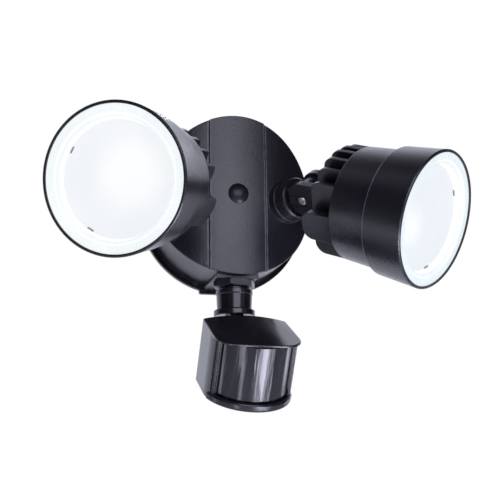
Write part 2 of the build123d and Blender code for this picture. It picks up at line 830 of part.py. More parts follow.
def make_sensor_board():
    """Upright board with a shelf over the knobs."""
    low = sensor_bottom + base_t + knob_stem
    v = sensor_back + sensor_board_v
    upright = block((-sensor_board_half, sensor_board_half), (v, v + sensor_board_t),
                    (low, cap_bottom - seat_gap))
    shelf = block((-sensor_board_half, sensor_board_half), (v, v + sensor_shelf),
                  (low, low + sensor_board_t))
    return upright + shelf


def make_pir_element():
    """Round can with the eye's window, looking out of the board."""
    face = sensor_back + sensor_board_v + sensor_board_t
    middle = (visor_bottom + sensor_bottom) / 2
    can = disc(eye_r, face, face + eye_h)
    can = fillet(can.edges().group_by(Axis.Z)[-1], eye_round)
    width, height, thick = eye_window
    window = block((-width / 2, width / 2), (-height / 2, height / 2),
                   (face + eye_h, face + eye_h + thick))
    return Pos(0, 0, middle) * Rot(-90, 0, 0) * (can + window)


def make_sensor_screw():
    length = 2 * sensor_ear_out + sensor_nut_t + sensor_screw_tip
    part = screw(sensor_screw_r, length, sensor_screw_head_r, sensor_screw_head_h)
    return Pos(sensor_ear_out, 0, 0) * Rot(0, 90, 0) * part


def make_sensor_pivot_nut():
    nut = hexagon(sensor_nut_flats, -sensor_nut_t, 0, sensor_screw_r + fit_gap / 2)
    return Pos(-sensor_ear_out, 0, 0) * Rot(0, 90, 0) * nut


# ==== assembly ====
def save(name, shape):
    solids = shape if isinstance(shape, list) else [shape]
    if len(solids) > 1:
        shape = Compound(children=[s if isinstance(s, Solid) else s.solid() for s in solids])
    export_step(shape, f"parts/{name}.step")


def place(frame, shape):
    if isinstance(shape, list):
        return [frame * item for item in shape]
    return frame * shape


def save_all():
    os.makedirs("parts", exist_ok=True)
    wall = WALL.location
    for name, shape in (
        ("canopy_housing", make_canopy()),
        ("wall_gasket", make_wall_gasket()),
        ("mounting_crossbar", make_crossbar()),
        ("centre_bolt", make_centre_bolt()),
        ("screw_plug", make_plug()),
        ("ground_screw", make_ground_screw()),
        ("led_driver", make_driver()),
        ("driver_screws", make_board_screws(small_posts()[:2], driver_ear_t)),
        ("control_board", make_control_board()),
        ("board_parts", make_board_parts()),
        ("board_screws", make_board_screws(small_posts()[2:], board_size[2])),
    ):
        save(name, place(wall, shape))
    head_pieces = (
        ("lamp_body", make_lamp_body()),
        ("front_ring", make_front_ring()),
        ("lens", make_lens()),
        ("lens_gasket", make_lens_gasket()),
        ("reflector", make_reflector()),
        ("led_board", make_led_board()),
        ("led_chips", make_led_chips()),
        ("tilt_screw", make_tilt_screw()),
        ("tilt_nut", make_tilt_nut()),
    )
    for word, side, pan, tilt in (("left", -1, left_pan, left_tilt),
                                  ("right", 1, right_pan, right_tilt)):
        stem, head = head_planes(side, pan, tilt)
        port = port_plane(side).location
        save(f"{word}_stem", stem * make_stem())
        save(f"{word}_stem_washer", port * make_stem_washer())
        save(f"{word}_stem_nut", port * make_stem_nut())
        for name, shape in head_pieces:
            save(f"{word}_{name}", place(head, shape))
    save("sensor_locknut", make_sensor_nut())
    save("sensor_neck", make_neck())
    sensor = Pos(0, neck_y, sensor_pivot_z) * Rot(0, 0, sensor_turn) * Rot(sensor_tilt, 0, 0)
    sensor *= Rot(0, 0, 180)
    for name, shape in (
        ("sensor_housing", make_sensor_housing()),
        ("sensor_visor", make_visor()),
        ("sensor_lens", make_sensor_lens()),
        ("sensor_base", make_sensor_base()),
        ("sensor_base_screws", make_base_screws()),
        ("sensor_board", make_sensor_board()),
        ("pir_element", make_pir_element()),
        ("sensor_tilt_screw", make_sensor_screw()),
        ("sensor_tilt_nut", make_sensor_pivot_nut()),
        ("time_knob", Pos(-knob_x, knob_v + sensor_back, 0) * make_knob()),
        ("range_knob", Pos(knob_x, knob_v + sensor_back, 0) * make_knob()),
    ):
        save(name, place(sensor, shape))


save_all()
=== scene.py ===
import json
from math import cos, pi, radians, sin, tau

import bmesh
import bpy
from mathutils import Matrix, Quaternion, Vector


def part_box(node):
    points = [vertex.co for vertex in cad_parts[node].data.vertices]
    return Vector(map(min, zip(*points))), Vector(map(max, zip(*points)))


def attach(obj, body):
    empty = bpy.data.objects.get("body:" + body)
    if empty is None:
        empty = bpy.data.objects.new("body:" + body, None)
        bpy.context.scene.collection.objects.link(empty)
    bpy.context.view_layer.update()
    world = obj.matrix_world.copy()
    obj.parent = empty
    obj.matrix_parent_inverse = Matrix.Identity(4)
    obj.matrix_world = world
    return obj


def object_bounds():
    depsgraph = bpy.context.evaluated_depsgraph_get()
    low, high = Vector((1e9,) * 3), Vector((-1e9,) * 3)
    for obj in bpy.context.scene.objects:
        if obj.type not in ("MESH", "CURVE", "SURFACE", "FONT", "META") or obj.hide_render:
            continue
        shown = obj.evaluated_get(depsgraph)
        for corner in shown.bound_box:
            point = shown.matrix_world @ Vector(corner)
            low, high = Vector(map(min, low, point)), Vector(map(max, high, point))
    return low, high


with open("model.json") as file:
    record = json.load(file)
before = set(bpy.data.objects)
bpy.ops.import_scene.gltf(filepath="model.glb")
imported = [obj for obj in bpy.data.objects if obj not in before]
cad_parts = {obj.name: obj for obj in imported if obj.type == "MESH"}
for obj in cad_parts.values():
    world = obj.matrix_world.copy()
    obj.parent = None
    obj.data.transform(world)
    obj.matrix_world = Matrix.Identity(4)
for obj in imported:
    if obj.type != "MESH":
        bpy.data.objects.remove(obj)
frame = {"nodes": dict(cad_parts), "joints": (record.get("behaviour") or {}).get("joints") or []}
cad_low, cad_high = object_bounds()
nodes = frame["nodes"]
joints = {joint["name"]: joint for joint in frame["joints"]}
heads = ("left", "right")

# A motion sensor security light: a round canopy on the wall, two lamp heads on swivel stems, and
# a sensor on a neck below. All lengths are in metres and all colours are linear.

# ---- the view ----
camera_place = Vector((-0.1664, -0.7128, -0.2070))
camera_aim = Vector((0.2510, 0.9390, 0.2351))   # the way it looks
camera_roll = -0.69             # degrees
image_side = 500                # pixels
focal_pixels = 938.5
sensor_width = 36.0             # millimetres

# ---- the stage ----
studio_tint = (0.97, 0.99, 1.17)
near_stand, far_stand = 0.70, 1.6               # softboxes, from the middle of the light
spot_blend, spot_source_radius = 0.6, 0.05
floor_height, floor_half = -0.62, 2.1
floor_tone = (0.86, 0.86, 0.87, 1.0)
dim_front = (0.010, 0.010, 0.012, 1.0)
bright_back = (1.05, 1.08, 1.26, 1.0)
back_starts, back_full = 0.20, 0.60             # share of a direction that points behind the wall

# ---- tones ----
full_white = (1.0, 1.0, 1.0, 1.0)
black_paint = (0.0065, 0.0060, 0.0090, 1.0)
black_plastic = (0.0050, 0.0045, 0.0070, 1.0)
worn_paint = (0.035, 0.034, 0.042, 1.0)         # specks and worn edges
edge_highlight_tone = (0.13, 0.13, 0.16, 1.0)           # painted highlight lines along grooves and rings
dust_tone = (0.22, 0.20, 0.19, 1.0)
window_dark, window_pale = (0.006, 0.005, 0.008, 1.0), (0.014, 0.013, 0.018, 1.0)
lens_dark, lens_pale = (0.10, 0.11, 0.11, 1.0), (0.13, 0.14, 0.14, 1.0)
sheet_dark, sheet_pale = (0.045, 0.045, 0.047, 1.0), (0.055, 0.055, 0.058, 1.0)
bowl_dark, bowl_pale = (0.10, 0.10, 0.10, 1.0), (0.13, 0.13, 0.13, 1.0)
bowl_cool = (0.93, 0.96, 0.98, 1.0)

# ---- noise and rounding ----
noise_range, narrow_range = (0.3, 0.7), (0.35, 0.65)    # values that a noise is drawn out from
rounding_samples = 6            # of the shader that rounds sharp edges
wear_width = 0.055              # how soft an edge may be and still wear

# ---- the canopy's two upright grooves ----
groove_place, groove_half = 0.0219, 0.00055     # from the canopy's middle, half the width
groove_highlight_rise = (0.0, 0.00012)               # painted highlight line, from the groove's edge
groove_highlight_fall = (0.0005, 0.0008)

# ---- the light unit of each head, in the head's own axes ----
ring_rear = 0.0745              # rear edge of the front ring, from the tilt screw
ring_highlight_fall = (0.0009, 0.0014)               # painted highlight line, from the ring's rear edge
lens_step_radius = 0.0400       # the step of the lens between its clear middle and frosted rim
frost_starts = (-0.0022, -0.0014)               # frost, from the step
step_line_rise, step_line_fall = (-0.0006, -0.0001), (0.0006, 0.0011)
step_line_white = 0.7           # share of white in the painted highlight at the step
clear_alpha, frosted_alpha = 0.14, 0.96
# the LEDs' light is painted on the lenses, diffuser sheets and reflectors as a glow, set for each
# head to how it looks from the camera; on the right head the brightest spot is moved to one side
lens_light, sheet_light = 0.89, 0.93
rim_tone = {"left": (0.895, 0.93, 0.93, 1.0), "right": (0.765, 0.835, 0.855, 1.0)}
sheet_tone = {"left": (0.865, 0.885, 0.92, 1.0), "right": (0.82, 0.855, 0.885, 1.0)}
bowl_light = {"left": 0.88, "right": 1.0}
glow_centre = {"left": (-0.0043, -0.0077), "right": (0.0200, -0.0040)}     # x and y of the painted glow's brightest spot
glow_reach = {"left": (0.011, 0.036), "right": (0.006, 0.024)}  # where the painted glow starts and stops fading

diffuser_depth = 0.0060         # behind the middle of the lens
diffuser_radius, diffuser_thickness = 0.0372, 0.0012
diffuser_crown = 0.0006
diffuser_shoulder = (0.55, 0.7)                 # a point on the crown: share of radius and height
diffuser_edge_width, diffuser_edge_height, diffuser_edge_round = 0.0016, 0.0009, 0.0003
diffuser_foot_width = 0.00256   # from the rim to where the raised edge begins
turn_steps = 96                 # flats round a turned piece

clip_length, clip_width, clip_height = 0.0046, 0.0011, 0.0012
clip_bevel = 0.0002
clip_angles = {"left": (0.0, 90.0), "right": (180.0, 77.0)}     # degrees about the head's axis


# ==== shader building ====
class Board:
    """A node tree with short ways to add and join its nodes."""

    def __init__(self, tree):
        self.tree = tree

    def add(self, kind, **values):
        node = self.tree.nodes.new(kind)
        for name, value in values.items():
            setattr(node, name, value)
        return node

    def feed(self, target, value):
        """Link a socket to a socket, or set it to a plain value."""
        if isinstance(value, bpy.types.NodeSocket):
            self.tree.links.new(value, target)
        else:
            target.default_value = value

    def math(self, operation, first, second=0.0):
        node = self.add("ShaderNodeMath", operation=operation)
        self.feed(node.inputs[0], first)
        self.feed(node.inputs[1], second)
        return node.outputs[0]

    def vector(self, operation, first, second):
        node = self.add("ShaderNodeVectorMath", operation=operation)
        self.feed(node.inputs[0], first)
        self.feed(node.inputs[1], second)
        return node.outputs["Value" if operation == "DOT_PRODUCT" else "Vector"]

    def length(self, x, y):
        """Length of a flat offset."""
        squares = self.math("ADD", self.math("MULTIPLY", x, x), self.math("MULTIPLY", y, y))
        return self.math("SQRT", squares)

    def span(self, value, low, high, to_low=0.0, to_high=1.0):
        """Map a range of values to another range, smoothly and clamped."""
        node = self.add("ShaderNodeMapRange", interpolation_type="SMOOTHSTEP")
        for socket, item in zip(node.inputs, (value, low, high, to_low, to_high)):
            self.feed(socket, item)
        return node.outputs[0]

    def band(self, value, rise, fall, top=1.0):
        """Mask that comes up over the range rise and goes down again over the range fall."""
        return self.math("MULTIPLY", self.span(value, *rise), self.span(value, *fall, top, 0.0))

    def noise(self, place, scale, detail=3.0, roughness=0.6):
        node = self.add("ShaderNodeTexNoise")
        self.feed(node.inputs["Vector"], place)
        self.feed(node.inputs["Scale"], scale)
        self.feed(node.inputs["Detail"], detail)
        self.feed(node.inputs["Roughness"], roughness)
        return node.outputs["Fac"]

    def patches(self, place, scale, low, high, least=0.0, **kind):
        """Cloudy mask from least to 1, drawn out from a noise between low and high."""
        return self.span(self.noise(place, scale, **kind), low, high, least, 1.0)

    def cells(self, place, scale):
        node = self.add("ShaderNodeTexVoronoi")
        self.feed(node.inputs["Vector"], place)
        self.feed(node.inputs["Scale"], scale)
        return node.outputs["Distance"]

    def mix(self, factor, first, second):
        node = self.add("ShaderNodeMix", data_type="RGBA")
        self.feed(node.inputs["Factor"], factor)
        colours = [socket for socket in node.inputs if socket.type == "RGBA"]
        self.feed(colours[0], first)
        self.feed(colours[1], second)
        return next(socket for socket in node.outputs if socket.type == "RGBA")

    def bump(self, height, strength, distance, edge=0.0):
        """Height to normal; edge is the radius to which sharp edges look rounded."""
        node = self.add("ShaderNodeBump")
        self.feed(node.inputs["Height"], height)
        if edge:
            rounded = self.add("ShaderNodeBevel", samples=rounding_samples)
            rounded.inputs["Radius"].default_value = edge
            self.feed(node.inputs["Normal"], rounded.outputs["Normal"])
        node.inputs["Strength"].default_value = strength
        node.inputs["Distance"].default_value = distance
        return node.outputs["Normal"]


def group(name, inputs, outputs):
    """An empty shader node group with named value and vector sockets."""
    kinds = {"value": "NodeSocketFloat", "vector": "NodeSocketVector"}
    tree = bpy.data.node_groups.new(name, "ShaderNodeTree")
    for label, kind in inputs:
        tree.interface.new_socket(label, in_out="INPUT", socket_type=kinds[kind])
    for label, kind in outputs:
        tree.interface.new_socket(label, in_out="OUTPUT", socket_type=kinds[kind])
    board = Board(tree)
    return tree, board, board.add("NodeGroupInput").outputs, board.add("NodeGroupOutput").inputs


def build_paint_grain():
    """Fine leather-like grain of powder paint: small cells broken up by noise."""
    tree, board, given, made = group(
        "paint_grain", [("Place", "vector"), ("Grain per metre", "value")],
        [("Height", "value"), ("Speckle", "value")])
    place, scale = given["Place"], given["Grain per metre"]
    ripple_scale, fine_scale = 0.55, 2.3        # against the cells
    cell_share, ripple_share, fine_share = 0.6, 0.9, 0.35
    speckle_range = (0.40, 0.62)
    cells = board.cells(place, scale)
    ripple = board.noise(place, board.math("MULTIPLY", scale, ripple_scale))
    fine = board.noise(place, board.math("MULTIPLY", scale, fine_scale), detail=2.0)
    height = board.math("ADD", board.math("MULTIPLY", cells, cell_share),
                        board.math("MULTIPLY", ripple, ripple_share))
    height = board.math("ADD", height, board.math("MULTIPLY", fine, fine_share))
    board.feed(made["Height"], height)
    board.feed(made["Speckle"], board.span(fine, *speckle_range))
    return tree


def build_edge_wear():
    """Mask of rubbed edges, broken up by noise."""
    tree, board, given, made = group(
        "edge_wear", [("Place", "vector"), ("Width", "value"), ("Amount", "value")],
        [("Wear", "value")])
    soft_edge, worn_edge = 0.60, 0.62           # pointiness, which is 0.5 on a flat face
    sharp = board.add("ShaderNodeNewGeometry").outputs["Pointiness"]
    edge = board.span(sharp, board.math("SUBTRACT", soft_edge, given["Width"]), worn_edge)
    patchy = board.patches(given["Place"], scale=160.0, low=0.35, high=0.70, detail=4.0,
                           roughness=0.65)
    wear = board.math("MULTIPLY", edge, patchy)
    board.feed(made["Wear"], board.math("MULTIPLY", wear, given["Amount"]))
    return tree


def build_dust():
    """Mask of thin dust on faces that look up, and of faint smudges anywhere."""
    tree, board, given, made = group(
        "dust", [("Place", "vector"), ("Amount", "value")],
        [("Dust", "value"), ("Smudge", "value")])
    place = given["Place"]
    upward, dust_holds = (0.0, 0.0, 1.0), (0.25, 1.0)       # slope on which dust stays
    normal = board.add("ShaderNodeNewGeometry").outputs["Normal"]
    held = board.span(board.vector("DOT_PRODUCT", normal, upward), *dust_holds)
    cloud = board.patches(place, scale=38.0, low=0.38, high=0.75, detail=5.0, roughness=0.62)
    settled = board.math("MULTIPLY", held, cloud)
    board.feed(made["Dust"], board.math("MULTIPLY", settled, given["Amount"]))
    board.feed(made["Smudge"],
               board.patches(place, scale=21.0, low=0.35, high=0.75, detail=4.0))
    return tree


def use(board, tree, **values):
    """Place a group in a material; keywords are its sockets with _ for spaces."""
    node = board.add("ShaderNodeGroup", node_tree=tree)
    for name, value in values.items():
        board.feed(node.inputs[name.replace("_", " ")], value)
    return node.outputs


paint_grain = build_paint_grain()
edge_wear = build_edge_wear()
dust = build_dust()


# ==== each head's own axes ====
def head_forward(word):
    """The way from a head's tilt screw to the middle of its lens."""
    low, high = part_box(f"{word}_lens")
    return (low + high) / 2 - Vector(joints[f"{word}_tilt"]["pos_m"])


def head_axes(word):
    """x along a head's tilt screw, z forwards through its lens, origin in the screw."""
    across = Vector(joints[f"{word}_tilt"]["axis"]).normalized()
    forward = head_forward(word).normalized()
    axes = Matrix((across, forward.cross(across), forward)).transposed().to_4x4()
    axes.translation = Vector(joints[f"{word}_tilt"]["pos_m"])
    return axes


def in_head(board, place, word, letters):
    """A surface point's place along a head's own axes, of which letters names some."""
    axes = head_axes(word)
    offset = board.vector("SUBTRACT", place, tuple(axes.translation))
    return [board.vector("DOT_PRODUCT", offset, tuple(axes.col["xyz".index(letter)].xyz))
            for letter in letters]


# ==== finishes ====
def opened(material):
    """A material's board, the sockets of its shader, and the place on the surface."""
    board = Board(material.node_tree)
    shader = next(node for node in material.node_tree.nodes if node.type == "BSDF_PRINCIPLED")
    return board, shader.inputs, board.add("ShaderNodeTexCoord").outputs["Object"]


def new_material(name):
    """A material with only a Principled shader and its output, opened."""
    material = bpy.data.materials.new(name)
    material.use_nodes = True
    return material, *opened(material)


def toned(colour, times, more=0.0):
    """A darker or lighter colour, kept within white."""
    return tuple(min(1.0, times * part + more) for part in colour[:3]) + (1.0,)


def painted(name, colour, grain, depth, rough, uneven, wear=0.35, dusty=0.05,
            edge=0.0007, shine=0.5):
    """Textured coating: grain in the normal, worn edges, thin dust, uneven gloss.

    grain is its cells in a metre, depth their height, and edge the radius of sharp edges.
    """
    material, board, shader, place = new_material(name)
    speckle_share, worn_rougher, grain_strength = 0.35, 0.1, 0.5
    texture = use(board, paint_grain, Place=place, Grain_per_metre=grain)
    worn = use(board, edge_wear, Place=place, Width=wear_width, Amount=wear)["Wear"]
    settled = use(board, dust, Place=place, Amount=dusty)
    specks = board.math("MULTIPLY", texture["Speckle"], speckle_share)
    tone = board.mix(specks, colour, worn_paint)
    tone = board.mix(worn, tone, worn_paint)
    tone = board.mix(settled["Dust"], tone, dust_tone)
    gloss = board.span(settled["Smudge"], 0.0, 1.0, rough - uneven, rough + uneven)
    dulled = board.math("ADD", gloss, board.math("MULTIPLY", worn, worn_rougher))
    board.feed(shader["Base Color"], tone)
    board.feed(shader["Roughness"], dulled)
    board.feed(shader["Normal"], board.bump(texture["Height"], grain_strength, depth, edge))
    shader["Specular IOR Level"].default_value = shine
    return material


def paint_highlight_line(board, shader, line, patchy):
    """Lay the painted highlight tone over a coating along a line, broken up in patches."""
    below = shader["Base Color"].links[0].from_socket
    # painted highlight: a light tone mixed into the base colour along the line
    highlighted = board.math("MULTIPLY", line, patchy)
    board.feed(shader["Base Color"], board.mix(highlighted, below, edge_highlight_tone))


def paint_groove_highlights(material):
    """Painted highlight lines along both edges of the canopy's two upright grooves, on faces that
    look to the front.
    """
    board, shader, place = opened(material)
    sideways, frontward, front_range = (1.0, 0.0, 0.0), (0.0, -1.0, 0.0), (0.45, 0.60)
    across = board.vector("DOT_PRODUCT", place, sideways)
    from_groove = board.math("SUBTRACT", board.math("ABSOLUTE", across), groove_place)
    away = board.math("ABSOLUTE", from_groove)
    line = board.band(away, [groove_half + far for far in groove_highlight_rise],
                      [groove_half + far for far in groove_highlight_fall])
    # the painted highlight is kept to faces that look to the front
    normal = board.add("ShaderNodeNewGeometry").outputs["Normal"]
    front = board.span(board.vector("DOT_PRODUCT", normal, frontward), *front_range)
    line = board.math("MULTIPLY", line, front)
    patchy = board.patches(place, scale=140.0, low=0.30, high=0.55, least=0.35)
    paint_highlight_line(board, shader, line, patchy)


def paint_ring_highlight(material, word):
    """Painted highlight line round the rear edge of a head's front ring."""
    board, shader, place = opened(material)
    ahead, = in_head(board, place, word, "z")
    # painted highlight just behind the ring's rear edge
    line = board.span(ahead, *(ring_rear + far for far in ring_highlight_fall), 1.0, 0.0)
    patchy = board.patches(place, scale=110.0, low=0.30, high=0.60, least=0.45)
    paint_highlight_line(board, shader, line, patchy)


def ring_paint(word):
    """Paint of a head's front ring, with a painted highlight line along its rear edge."""
    material = painted(f"{word}_ring_paint", black_paint, grain=1300.0, depth=0.00012,
                       rough=0.30, uneven=0.03, edge=0.0005)
    paint_ring_highlight(material, word)
    return material


def metal(name, colour, rough):
    """Plated or bare steel with fine drawn marks."""
    material, board, shader, place = new_material(name)
    drawn_out, marks_strength, marks_depth = (1.0, 0.12, 1.0), 0.2, 0.00005
    dull_share, smoother, rougher = 0.62, 0.06, 0.1
    marks = board.noise(board.vector("MULTIPLY", place, drawn_out), scale=900.0)
    smudge = use(board, dust, Place=place, Amount=0.05)["Smudge"]
    tone = board.mix(board.span(marks, *noise_range), toned(colour, dull_share), colour)
    board.feed(shader["Base Color"], tone)
    board.feed(shader["Roughness"],
               board.span(smudge, 0.0, 1.0, rough - smoother, rough + rougher))
    shader["Metallic"].default_value = 1.0
    board.feed(shader["Normal"], board.bump(marks, marks_strength, marks_depth))
    return material


def moulded(name, colour, rough, scale=420.0, glow=0.0):
    """Moulded plastic, rubber or board with a faint mottle, which may be given a painted glow in
    its own colour.
    """
    material, board, shader, place = new_material(name)
    uneven, mottle_strength, mottle_depth = 0.05, 0.15, 0.0001
    mottle = board.noise(place, scale)
    lighter = toned(colour, times=1.12, more=0.01)
    tone = board.mix(board.span(mottle, *narrow_range), colour, lighter)
    board.feed(shader["Base Color"], tone)
    board.feed(shader["Roughness"],
               board.span(mottle, *noise_range, rough - uneven, rough + uneven))
    board.feed(shader["Normal"], board.bump(mottle, mottle_strength, mottle_depth))
    if glow:
        shader["Emission Color"].default_value = colour
        shader["Emission Strength"].default_value = glow
    return material


def frosted_lens(word):
    """Clear in the middle, frosted in its rim; the LEDs' light painted on as a glow, a little
    green or blue in the rim, with a white painted highlight at its step.
    """
    material, board, shader, place = new_material(f"{word}_frosted_lens")
    frost_strength, frost_depth = 0.08, 0.0001
    radius = board.length(*in_head(board, place, word, "xy"))
    frost = board.noise(place, scale=700.0)
    cloud = board.patches(place, scale=34.0, low=0.35, high=0.70, roughness=0.55)
    rim = board.span(radius, *(lens_step_radius + far for far in frost_starts))
    # painted highlight: a white line in the glow at the lens's step
    step_line = board.band(radius, [lens_step_radius + far for far in step_line_rise],
                           [lens_step_radius + far for far in step_line_fall], step_line_white)
    tone = board.mix(cloud, rim_tone[word], toned(rim_tone[word], times=1.07))
    tone = board.mix(step_line, tone, full_white)
    board.feed(shader["Base Color"],
               board.mix(board.span(frost, *noise_range), lens_dark, lens_pale))
    # the LEDs' light painted on the lens as emission
    board.feed(shader["Emission Color"], tone)
    board.feed(shader["Alpha"], board.span(rim, 0.0, 1.0, clear_alpha, frosted_alpha))
    board.feed(shader["Roughness"], board.span(frost, *noise_range, to_low=0.20, to_high=0.32))
    shader["Emission Strength"].default_value = lens_light
    board.feed(shader["Normal"], board.bump(frost, frost_strength, frost_depth))
    return material


def diffuser_painted_glow(word):
    """White sheet with the LEDs' light from behind painted on as a glow, brightest round a given
    spot, which on the right head is moved to one side.
    """
    material, board, shader, place = new_material(f"{word}_diffuser_painted_glow")
    frost_strength, frost_depth, glow_wander = 0.08, 0.0001, 0.006
    off = [board.math("SUBTRACT", along, middle)
           for along, middle in zip(in_head(board, place, word, "xy"), glow_centre[word])]
    cloud = board.noise(place, scale=45.0, roughness=0.5)
    away = board.math("ADD", board.length(*off), board.math("MULTIPLY", cloud, glow_wander))
    faded = board.span(away, *glow_reach[word])
    frost = board.noise(place, scale=900.0)
    board.feed(shader["Base Color"],
               board.mix(board.span(frost, *noise_range), sheet_dark, sheet_pale))
    # the LEDs' light painted on the sheet as emission, whitest round the glow's brightest spot
    board.feed(shader["Emission Color"], board.mix(faded, full_white, sheet_tone[word]))
    shader["Emission Strength"].default_value = sheet_light
    board.feed(shader["Roughness"], board.span(frost, *noise_range, to_low=0.45, to_high=0.60))
    board.feed(shader["Normal"], board.bump(frost, frost_strength, frost_depth))
    return material


def bowl_painted_glow(word):
    """White reflector with the LEDs' light painted on as a glow."""
    material, board, shader, place = new_material(f"{word}_bowl_painted_glow")
    mottle = board.noise(place, scale=120.0)
    board.feed(shader["Base Color"],
               board.mix(board.span(mottle, *noise_range), bowl_dark, bowl_pale))
    # the LEDs' light painted on the reflector as emission
    board.feed(shader["Emission Color"],
               board.mix(board.span(mottle, *narrow_range), bowl_cool, full_white))
    shader["Emission Strength"].default_value = bowl_light[word]
    board.feed(shader["Roughness"], board.span(mottle, *noise_range, to_low=0.30, to_high=0.40))
    return material


def dark_window():
    """Glossy black lens of the sensor, with the upright facets of its moulded optics."""
    material, board, shader, place = new_material("dark_window")
    drawn_out = 0.90            # how much of the height is taken out, which draws out the noise
    facet_share, wave_strength, wave_depth = 0.13, 1.0, 0.0019
    upright = Vector(joints["time_knob_turn"]["axis"]).normalized()
    height = board.vector("DOT_PRODUCT", place, tuple(upright))
    taken = board.add("ShaderNodeVectorMath", operation="SCALE")
    taken.inputs[0].default_value = tuple(upright)
    board.feed(taken.inputs["Scale"], board.math("MULTIPLY", height, drawn_out))
    drawn = board.vector("SUBTRACT", place, taken.outputs["Vector"])
    ripple = board.noise(drawn, scale=62.0, detail=2.0, roughness=0.5)
    facets = board.noise(drawn, scale=260.0, detail=2.0)
    streak = board.span(facets, low=0.35, high=0.70)
    board.feed(shader["Base Color"], board.mix(streak, window_dark, window_pale))
    board.feed(shader["Roughness"], board.span(streak, 0.0, 1.0, to_low=0.10, to_high=0.20))
    shader["Specular IOR Level"].default_value = 0.35
    shader["Coat Weight"].default_value = 0.3
    shader["Coat Roughness"].default_value = 0.06
    waves = board.math("ADD", ripple, board.math("MULTIPLY", facets, facet_share))
    board.feed(shader["Normal"], board.bump(waves, wave_strength, wave_depth))
    return material


canopy_paint = painted("canopy_paint", black_paint, grain=1050.0, depth=0.00025, rough=0.33,
                       uneven=0.03)
paint_groove_highlights(canopy_paint)
head_paint = painted("head_paint", black_paint, grain=1300.0, depth=0.00014, rough=0.30,
                     uneven=0.03, edge=0.0009)
sensor_plastic = painted("sensor_plastic", black_plastic, grain=2600.0, depth=0.00002,
                         rough=0.20, uneven=0.04, wear=0.2, dusty=0.03)
neck_plastic = painted("neck_plastic", black_plastic, grain=1900.0, depth=0.00003, rough=0.20,
                       uneven=0.04, wear=0.25, dusty=0.03)
nut_paint = painted("nut_paint", black_paint, grain=2400.0, depth=0.00006, rough=0.30,
                    uneven=0.05, wear=0.6, dusty=0.03)
plug_plastic = painted("plug_plastic", black_plastic, grain=2600.0, depth=0.00004, rough=0.36,
                       uneven=0.04, wear=0.2, dusty=0.03, shine=0.30)
# the lens gaskets have the LEDs' light painted on as a faint glow
silicone_painted_glow = moulded("silicone_painted_glow", (0.80, 0.83, 0.84, 1.0), rough=0.45, glow=0.35)
gasket_foam = moulded("gasket_foam", (0.035, 0.035, 0.037, 1.0), rough=0.85)
zinc_plate = metal("zinc_plate", (0.62, 0.61, 0.57, 1.0), rough=0.34)
bright_steel = metal("bright_steel", (0.88, 0.87, 0.85, 1.0), rough=0.38)
black_steel = metal("black_steel", (0.09, 0.09, 0.10, 1.0), rough=0.38)
green_steel = metal("green_steel", (0.05, 0.32, 0.12, 1.0), rough=0.36)
driver_case = moulded("driver_case", (0.72, 0.72, 0.70, 1.0), rough=0.50)
solder_mask = moulded("solder_mask", (0.02, 0.15, 0.07, 1.0), rough=0.32, scale=160.0)
part_cases = moulded("part_cases", (0.03, 0.03, 0.035, 1.0), rough=0.40)
white_board = moulded("white_board", (0.82, 0.83, 0.82, 1.0), rough=0.45)
phosphor = moulded("phosphor", (0.90, 0.68, 0.12, 1.0), rough=0.40)
eye_metal = metal("eye_metal", (0.70, 0.70, 0.70, 1.0), rough=0.25)
knob_plastic = moulded("knob_plastic", (0.045, 0.045, 0.05, 1.0), rough=0.42)
window_plastic = dark_window()

finishes = {
    "canopy_housing": canopy_paint, "wall_gasket": gasket_foam, "mounting_crossbar": zinc_plate,
    "centre_bolt": zinc_plate, "screw_plug": plug_plastic, "ground_screw": green_steel,
    "led_driver": driver_case, "driver_screws": zinc_plate, "control_board": solder_mask,
    "board_parts": part_cases, "board_screws": zinc_plate, "sensor_locknut": nut_paint,
    "sensor_neck": neck_plastic, "sensor_housing": sensor_plastic,
    "sensor_visor": sensor_plastic, "sensor_lens": window_plastic,
    "sensor_base": sensor_plastic, "sensor_base_screws": black_steel,
    "sensor_board": solder_mask, "pir_element": eye_metal, "sensor_tilt_screw": black_steel,
    "sensor_tilt_nut": black_steel, "time_knob": knob_plastic, "range_knob": knob_plastic,
}
for word in heads:
    finishes.update({
        f"{word}_stem": head_paint, f"{word}_stem_washer": gasket_foam,
        f"{word}_stem_nut": zinc_plate, f"{word}_lamp_body": head_paint,
        f"{word}_front_ring": ring_paint(word), f"{word}_lens": frosted_lens(word),
        f"{word}_lens_gasket": silicone_painted_glow, f"{word}_reflector": bowl_painted_glow(word),
        f"{word}_led_board": white_board, f"{word}_led_chips": phosphor,
        f"{word}_tilt_screw": bright_steel, f"{word}_tilt_nut": black_steel,
    })
for name, node in nodes.items():
    node.data.materials.clear()
    node.data.materials.append(finishes[name])


# ==== pieces that the solids leave out ====
def solid_from(name, build, axes, material, body):
    """A piece from a bmesh, moved to its place, with its finish, on its body."""
    shape = bmesh.new()
    build(shape)
    bmesh.ops.recalc_face_normals(shape, faces=shape.faces)
    shape.transform(axes)
    mesh = bpy.data.meshes.new(name)
    shape.to_mesh(mesh)
    shape.free()
    mesh.materials.append(material)
    piece = bpy.data.objects.new(name, mesh)
    bpy.context.scene.collection.objects.link(piece)
    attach(piece, body)
    return piece


def turn_outline(shape, outline):
    """Turn an outline of (radius, height) points about z; it begins and ends on the axis."""
    angles = [tau * i / turn_steps for i in range(turn_steps)]
    rings = []
    for radius, height in outline:
        around = angles if radius else angles[:1]
        rings.append([shape.verts.new((radius * cos(angle), radius * sin(angle), height))
                      for angle in around])
    for first, second in zip(rings, rings[1:]):
        for i in range(turn_steps):
            j = (i + 1) % turn_steps
            corners = [first[i % len(first)], second[i % len(second)],
                       second[j % len(second)], first[j % len(first)]]
            shape.faces.new(list(dict.fromkeys(corners)))


